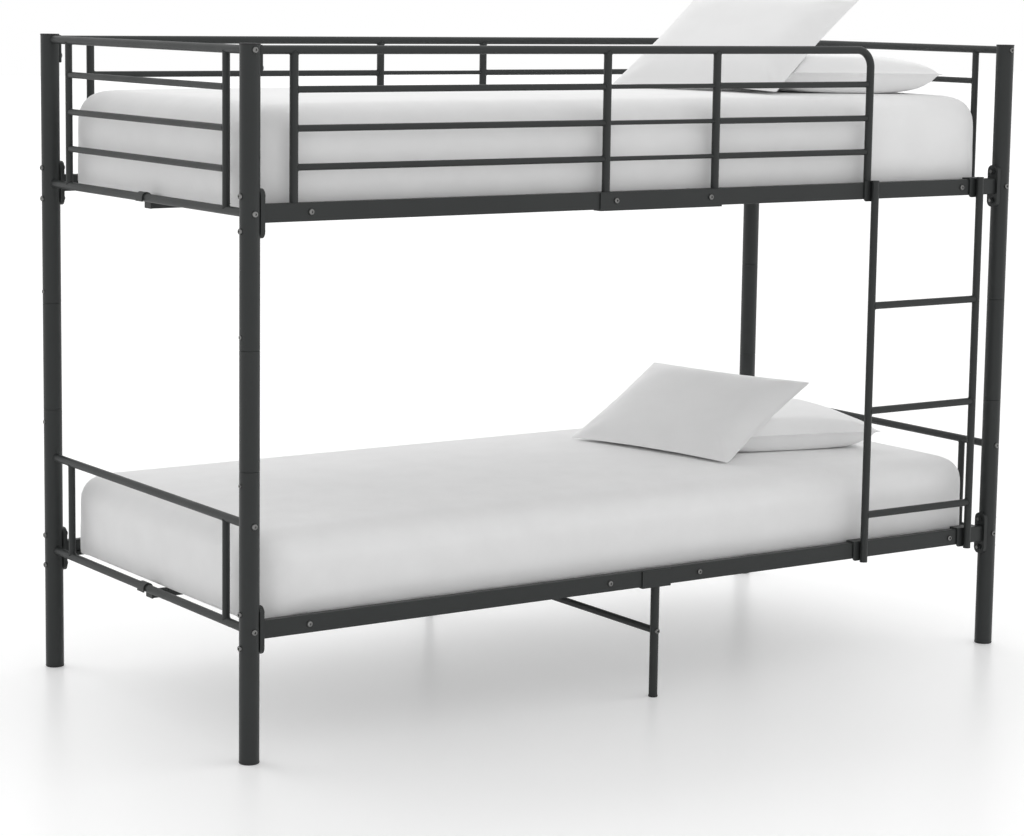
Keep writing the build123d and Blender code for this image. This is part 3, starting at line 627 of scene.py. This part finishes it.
def rungWelds(places):
    rung = places["rungRadius"]
    stile = places["railRadius"]
    y = boxMiddle("ladder_end_plugs").y
    beads = []
    for z in places["rungs"]:
        for x, way in zip(places["stiles"], (1, -1)):
            beads.append(makeWeld((x, y, z), (way, 0, 0), (0, 0, 1), rung, stile, weldSetup))
    return beads


for name, beads, body in (
    ("panelWelds", panelWelds, "frame"),
    ("guardWelds", guardWelds, "frame"),
    ("rungWelds", rungWelds, "ladder"),
):
    finishPiece(joinPieces(beads(weldPlaces), name), body, "frame_coat")
print("welds laid")


# Bedding: every soft piece starts as a plain form that is puffed out by cloth

clothSetup = {"quality": 5, "mass": 0.3, "shearShare": 3, "bending": 0.4}


def puffOut(piece, pressure, frames, stiffness):
    cloth = piece.modifiers.new("puff", "CLOTH")
    cloth.settings.quality = clothSetup["quality"]
    cloth.settings.mass = clothSetup["mass"]
    cloth.settings.tension_stiffness = stiffness
    cloth.settings.compression_stiffness = stiffness
    cloth.settings.shear_stiffness = stiffness / clothSetup["shearShare"]
    cloth.settings.bending_stiffness = clothSetup["bending"]
    cloth.settings.use_pressure = True
    cloth.settings.uniform_pressure_force = pressure
    cloth.settings.effector_weights.gravity = 0
    cloth.point_cache.frame_start = 1
    cloth.point_cache.frame_end = frames
    for number in range(1, frames + 1):
        scene.frame_set(number)
    applyModifier(piece, "puff")
    scene.frame_set(1)


def boxOfMesh(piece):
    points = [vertex.co for vertex in piece.data.vertices]
    low = Vector([min(point[axis] for point in points) for axis in range(3)])
    high = Vector([max(point[axis] for point in points) for axis in range(3)])
    return low, high


def softStep(value, reach):
    # value where it is above zero, running smoothly to zero below
    if value > 8 * reach:
        return value
    return reach * math.log1p(math.exp(value / reach))


mattressSetup = {
    "length": 2.0,
    "width": 0.900,
    "height": 0.205,
    "inset": 0.006,
    "cornerRound": 0.062,
    "cornerSteps": 10,
    "topRound": 0.055,
    "topSteps": 9,
    "bottomRound": 0.005,
    "bottomSteps": 3,
    "voxel": 0.013,
    "crown": 0.007,
    "crownPowers": (3, 6, 3),
    "pressure": 1.2,
    "frames": 9,
    "stiffness": 12,
    "cap": 0.0035,
    "cornerFade": 3.0,
    "fadeFromEnd": 0.90,
    "fadeFromSide": 0.80,
    "endStart": 0.935,
    "endSag": 0.009,
    "sideReach": 0.06,
    "smoothFrom": 0.025,
    "smoothFactor": 0.5,
    "smoothPasses": 8,
    "squareHeight": 0.085,
    "squareReach": 0.07,
    "bottomClear": 0.0003,
    "proud": {"lower": 0.0, "upper": 0.007},
}


def squareBottom(point, setup):
    # draws the rounded bottom edge out towards the outline of the sides
    corner = setup["cornerRound"]
    overX = abs(point.x) - (setup["length"] / 2 - setup["inset"] - corner)
    overY = abs(point.y) - (setup["width"] / 2 - setup["inset"] - corner)
    if max(overX, overY) < 0:
        return
    outwardX = max(overX, 0) * math.copysign(1, point.x)
    outwardY = max(overY, 0) * math.copysign(1, point.y)
    outward = Vector((outwardX, outwardY, 0))
    inside = corner - outward.length
    if 0 < inside < setup["squareReach"] and point.z < setup["squareHeight"] and outward.length > 0:
        share = min(2 - 2 * point.z / setup["squareHeight"], 1)
        move = (inside - inside * inside / setup["squareReach"]) * share
        point.xy += outward.normalized().xy * move


def makeMattress(setup):
    deselectAll()
    inset = setup["inset"]
    size = (
        setup["length"] - 2 * inset,
        setup["width"] - 2 * inset,
        setup["height"] - inset - setup["crown"],
    )
    bpy.ops.mesh.primitive_cube_add(size=1, location=(0, 0, size[2] / 2))
    mattress = bpy.context.object
    mattress.name = "mattress"
    mattress.dimensions = size
    applyPlace(mattress)
    half = size[2] / 2
    bevelEdges(mattress, lambda low, high: high.z - low.z > half, setup["cornerRound"], setup["cornerSteps"])
    bevelEdges(mattress, lambda low, high: low.z > half, setup["topRound"], setup["topSteps"])
    bevelEdges(mattress, lambda low, high: high.z < half, setup["bottomRound"], setup["bottomSteps"])
    remesh = mattress.modifiers.new("cells", "REMESH")
    remesh.mode = "VOXEL"
    remesh.voxel_size = setup["voxel"]
    applyModifier(mattress, "cells")
    before = [vertex.co.copy() for vertex in mattress.data.vertices]
    puffOut(mattress, setup["pressure"], setup["frames"], setup["stiffness"])
    halfLength = setup["length"] / 2
    halfWidth = setup["width"] / 2
    acrossPower, alongPower, upPower = setup["crownPowers"]
    for vertex, start in zip(mattress.data.vertices, before):
        move = vertex.co - start
        nearEnd = max(abs(start.x) / halfLength - setup["fadeFromEnd"], 0) / (1 - setup["fadeFromEnd"])
        nearSide = max(abs(start.y) / halfWidth - setup["fadeFromSide"], 0) / (1 - setup["fadeFromSide"])
        cap = setup["cap"] * max(1 - setup["cornerFade"] * nearEnd * nearSide, 0)
        if move.length > cap:
            move *= cap / move.length
        vertex.co = start + move
        across = max(1 - abs(vertex.co.y / halfWidth) ** acrossPower, 0)
        lengthways = max(1 - abs(vertex.co.x / halfLength) ** alongPower, 0)
        lift = max(vertex.co.z / size[2], 0)
        vertex.co.z += setup["crown"] * across * lengthways * lift**upPower
        vertex.co.z = max(vertex.co.z, setup["bottomClear"])
    upperPart = mattress.vertex_groups.new(name="upperPart")
    for vertex in mattress.data.vertices:
        weight = min(max(vertex.co.z / setup["smoothFrom"] - 1, 0), 1)
        upperPart.add([vertex.index], weight, "REPLACE")
    smooth = mattress.modifiers.new("settle", "SMOOTH")
    smooth.factor = setup["smoothFactor"]
    smooth.iterations = setup["smoothPasses"]
    smooth.vertex_group = "upperPart"
    applyModifier(mattress, "settle")
    low, high = boxOfMesh(mattress)
    for vertex in mattress.data.vertices:
        # full height from top to bottom, then a square bottom edge that sags past the last slat
        vertex.co.z = (vertex.co.z - low.z) * setup["height"] / (high.z - low.z) + setup["bottomClear"]
        squareBottom(vertex.co, setup)
        beyond = (abs(vertex.co.x) - setup["endStart"]) / (halfLength - setup["endStart"])
        under = 1 - vertex.co.z / setup["sideReach"]
        if beyond > 0 and under > 0:
            beyond = min(beyond, 1)
            vertex.co.z -= setup["endSag"] * beyond * beyond * (3 - 2 * beyond) * under
    return mattress


mattressPattern = makeMattress(mattressSetup)
print("mattress puffed", len(mattressPattern.data.vertices))
mattresses = {}
for level, turnZ in (("lower", 0.0), ("upper", math.pi)):
    low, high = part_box(level + "_mattress")
    height = high[2] - low[2] + mattressSetup["proud"][level]
    stretch = Matrix.Diagonal((1, 1, height / mattressSetup["height"], 1))
    place = Matrix.Translation((0, 0, low[2])) @ Matrix.Rotation(turnZ, 4, "Z") @ stretch
    mattress = copyPiece(mattressPattern, place)
    mattress.name = level + "Mattress"
    applyPlace(mattress)
    finishPiece(mattress, level + "_mattress", "mattress_cover", (level + "_mattress",))
    mattresses[level] = mattress
bpy.data.objects.remove(mattressPattern)
print("mattresses laid")


# Pillows: two sheets sewn round the edge and filled, the front one leaning on the flat one behind

pillowSetup = {
    "cells": 60,
    "rim": 0.003,
    "pressure": 2.0,
    "frames": 14,
    "stiffness": 15.0,
    "thinnest": 0.02,
    "ownShape": 0.3,
    "drawIn": 0.007,
    "seamWidth": 0.007,
    "seamHalf": 0.0012,
    "fold": 0.0022,
    "foldsAtCorner": 9.0,
    "foldDistance": 0.060,
    "foldReach": 0.032,
    "plumpFrom": 0.012,
    "bellyRoom": 0.002,
    "gap": 0.0006,
    "softReach": 0.003,
}
pillowForm = {
    "front": {"thickness": 0.088, "under": 1.0, "rimSlope": 0.74},
    "rear": {"thickness": 0.072, "under": 1.65, "rimSlope": 1.60},
}
pillowPlaces = {
    "lower": {
        "front": {
            "edge": (0.320, -0.018),
            "turn": -13.0,
            "lean": 27.2,
            "seamHeight": 0.004,
            "width": 0.358,
            "length": 0.500,
        },
        "rear": {
            "centre": (0.685, 0.035),
            "turn": -12.0,
            "seamHeight": 0.045,
            "width": 0.464,
            "length": 0.510,
        },
    },
    "upper": {
        "front": {
            "edge": (0.362, -0.110),
            "turn": -15.0,
            "lean": 32.9,
            "seamHeight": 0.007,
            "width": 0.396,
            "length": 0.490,
        },
        "rear": {
            "centre": (0.727, -0.100),
            "turn": -8.0,
            "seamHeight": 0.050,
            "width": 0.456,
            "length": 0.500,
        },
    },
}


def softLower(first, second, sharpness=4):
    # the lower of two heights, blended where they meet
    first = max(first, 0.00001)
    second = max(second, 0.00001)
    return (first**-sharpness + second**-sharpness) ** (-1 / sharpness)


def sheetHeight(setup, form, place, u, v, full):
    # u and v run from -1 to 1 over the sheet; the filling stops at the seam inside the rim
    fromEnd = (1 - abs(u)) * place["length"] / 2
    fromSide = (1 - abs(v)) * place["width"] / 2
    inside = max(softLower(fromEnd, fromSide) - setup["seamWidth"], 0)
    return softLower(full, setup["seamHalf"] + form["rimSlope"] * inside)


def cornerFold(setup, place, u, v):
    fromEnd = (1 - abs(u)) * place["length"] / 2
    fromSide = (1 - abs(v)) * place["width"] / 2
    reach = (math.hypot(fromEnd, fromSide) - setup["foldDistance"]) / setup["foldReach"]
    phase = 1.7 * math.copysign(1, u) + 0.6 * math.copysign(1, v)  # each corner folds its own way
    wave = math.sin(math.atan2(fromSide, fromEnd) * setup["foldsAtCorner"] + phase)
    return setup["fold"] * wave * math.exp(-reach * reach)


def flatSpots(pillow):
    # where each point lay on the flat sheet, from -1 to 1 each way
    spots = {}
    marks = pillow.data.uv_layers.active.data
    for loop in pillow.data.loops:
        mark = marks[loop.index].uv
        spots[loop.vertex_index] = (2 * mark.x - 1, 2 * mark.y - 1)
    return spots


def makePillow(setup, form, place):
    # flat on the XY plane, length along X and width along Y
    deselectAll()
    length = place["length"]
    width = place["width"]
    across = round(setup["cells"] * width / length)
    bpy.ops.mesh.primitive_grid_add(x_subdivisions=setup["cells"], y_subdivisions=across, size=1)
    pillow = bpy.context.object
    pillow.dimensions = (length, width, 0)
    applyPlace(pillow)
    sheet = pillow.modifiers.new("sheets", "SOLIDIFY")
    sheet.thickness = setup["rim"]
    sheet.offset = 0
    applyModifier(pillow, "sheets")
    puffOut(pillow, setup["pressure"], setup["frames"], setup["stiffness"])
    low, high = boxOfMesh(pillow)
    size = high - low
    middle = (low + high) / 2
    spots = flatSpots(pillow)
    for vertex in pillow.data.vertices:
        u, v = spots[vertex.index]
        spot = vertex.co - middle
        flatX = u * (length / 2 - setup["drawIn"] * (1 - v * v))
        flatY = v * (width / 2 - setup["drawIn"] * (1 - u * u))
        x = flatX + (spot.x * length / size.x - flatX) * setup["ownShape"]
        y = flatY + (spot.y * width / size.y - flatY) * setup["ownShape"]
        full = abs(spot.z) * form["thickness"] / max(size.z, setup["thinnest"])
        height = sheetHeight(setup, form, place, u, v, full)
        height += cornerFold(setup, place, u, v) * min(height / setup["plumpFrom"], 1)
        if spot.z < 0:
            height *= 1 + (form["under"] - 1) * min(height / setup["plumpFrom"], 1)
        vertex.co = (x, y, math.copysign(height, spot.z))
    fine = pillow.modifiers.new("fine", "SUBSURF")
    fine.levels = 1
    fine.render_levels = 1
    applyModifier(pillow, "fine")
    return pillow


def leaningPlace(place, restHeight):
    turn = math.radians(place["turn"])
    lean = math.radians(place["lean"])
    along = Vector((-math.sin(turn), -math.cos(turn), 0))
    level = Vector((math.cos(turn), -math.sin(turn), 0))
    rise = level * math.cos(lean) + Vector((0, 0, math.sin(lean)))
    edge = Vector((*place["edge"], restHeight + place["seamHeight"]))
    origin = edge + rise * (place["width"] / 2)
    normal = along.cross(rise)
    if normal.z < 0:
        along = -along
        normal = -normal
    return Matrix((along, rise, normal)).transposed().to_4x4(), origin


def flatPlace(place, restHeight):
    turn = math.radians(place["turn"])
    along = Vector((-math.sin(turn), math.cos(turn), 0))
    level = Vector((0, 0, 1)).cross(along)
    middle = restHeight + place["seamHeight"]
    return Matrix((along, level, Vector((0, 0, 1)))).transposed().to_4x4(), Vector((*place["centre"], middle))


def settleOn(pillow, tree, restHeight, setup):
    # lays the pillow on the mattress, with its underside pressed flat
    down = Vector((0, 0, -1))
    for vertex in pillow.data.vertices:
        hit = tree.ray_cast(Vector((*vertex.co.xy, restHeight + 1)), down)[0]
        ground = hit.z if hit else restHeight
        vertex.co.z = ground + setup["gap"] + softStep(vertex.co.z - restHeight, setup["softReach"])


def pressUnder(pillow, turn, origin, place, form, setup):
    # keeps the rear pillow under the belly of the one that leans on it
    normal = turn.to_3x3() @ Vector((0, 0, 1))
    back = turn.to_3x3().inverted()
    for vertex in pillow.data.vertices:
        spot = back @ (vertex.co - origin)
        u = min(abs(spot.x) / (place["length"] / 2), 1)
        v = min(abs(spot.y) / (place["width"] / 2), 1)
        full = form["thickness"] / 2 * math.sqrt((1 - u**4) * (1 - v**4))
        belly = sheetHeight(setup, form, place, u, v, full) + setup["bellyRoom"]
        over = spot.z + belly + setup["gap"]
        vertex.co -= normal * softStep(over, setup["softReach"])


def layPillow(name, pillow, turn, origin):
    pillow.name = name
    pillow.matrix_world = Matrix.Translation(origin) @ turn
    applyPlace(pillow)


for level, places in pillowPlaces.items():
    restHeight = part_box(level + "_mattress")[1][2] + mattressSetup["proud"][level]
    ground = BVHTree.FromObject(mattresses[level], bpy.context.evaluated_depsgraph_get())
    frontTurn, frontOrigin = leaningPlace(places["front"], restHeight)
    rearTurn, rearOrigin = flatPlace(places["rear"], restHeight)
    frontPillow = makePillow(pillowSetup, pillowForm["front"], places["front"])
    layPillow(level + "FrontPillow", frontPillow, frontTurn, frontOrigin)
    settleOn(frontPillow, ground, restHeight, pillowSetup)
    rearPillow = makePillow(pillowSetup, pillowForm["rear"], places["rear"])
    layPillow(level + "RearPillow", rearPillow, rearTurn, rearOrigin)
    pressUnder(rearPillow, frontTurn, frontOrigin, places["front"], pillowForm["front"], pillowSetup)
    settleOn(rearPillow, ground, restHeight, pillowSetup)
    for piece, which in ((frontPillow, "front"), (rearPillow, "rear")):
        node = level + "_" + which + "_pillow"
        finishPiece(piece, node, "pillow_cover", (node,))
    print(level, "pillows laid")


# Floor and light

stageSetup = {"floorSize": 80.0, "floorTone": 0.88, "floorLift": 0.19, "floorRough": 0.32, "floorGloss": 0.25}


def addFloor(setup):
    deselectAll()
    bpy.ops.mesh.primitive_plane_add(size=setup["floorSize"], location=(0, 0, 0))
    floor = bpy.context.object
    floor.name = "floor"
    material, tree, shader, place = newMaterial("floorWhite")
    tone = setup["floorTone"]
    shader.inputs["Base Color"].default_value = (tone, tone, tone, 1)
    shader.inputs["Roughness"].default_value = setup["floorRough"]
    shader.inputs["Specular IOR Level"].default_value = setup["floorGloss"]
    shader.inputs["Emission Color"].default_value = (1, 1, 1, 1)
    path = tree.nodes.new("ShaderNodeLightPath")
    seen = mathNode(tree, "MAXIMUM", path.outputs["Is Camera Ray"], path.outputs["Is Glossy Ray"])
    seen = mathNode(tree, "MAXIMUM", seen, path.outputs["Is Transmission Ray"])
    lift = mathNode(tree, "MULTIPLY", seen, setup["floorLift"])
    tree.links.new(lift, shader.inputs["Emission Strength"])
    floor.data.materials.append(material)


worldSetup = {"light": 0.62, "seen": 1.0}


def addWorld(setup):
    world = bpy.data.worlds.new("studio")
    scene.world = world
    world.use_nodes = True
    tree = world.node_tree
    background = tree.nodes["Background"]
    background.inputs["Color"].default_value = (1, 1, 1, 1)
    path = tree.nodes.new("ShaderNodeLightPath")
    seen = mathNode(tree, "MAXIMUM", path.outputs["Is Camera Ray"], path.outputs["Is Glossy Ray"])
    seen = mathNode(tree, "MAXIMUM", seen, path.outputs["Is Transmission Ray"])
    strength = mapRange(tree, seen, 0.0, 1.0, setup["light"], setup["seen"])
    tree.links.new(strength, background.inputs["Strength"])


lampSetup = {
    "rear": {"from": (0.0, 1.0, 0.55), "angle": 85, "strength": 1.4},
    "head": {"from": (1.0, 0.0, 0.50), "angle": 85, "strength": 0.85},
    "front": {"from": (0.10, -1.0, 0.50), "angle": 85, "strength": 0.30},
}


def addLamp(name, setup):
    data = bpy.data.lights.new(name, "SUN")
    data.angle = math.radians(setup["angle"])
    data.energy = setup["strength"]
    lamp = bpy.data.objects.new(name, data)
    scene.collection.objects.link(lamp)
    lamp.visible_glossy = False
    lamp.matrix_world = Vector(setup["from"]).to_track_quat("Z", "Y").to_matrix().to_4x4()


addFloor(stageSetup)
addWorld(worldSetup)
for lampName, setup in lampSetup.items():
    addLamp(lampName, setup)
print("stage lit")
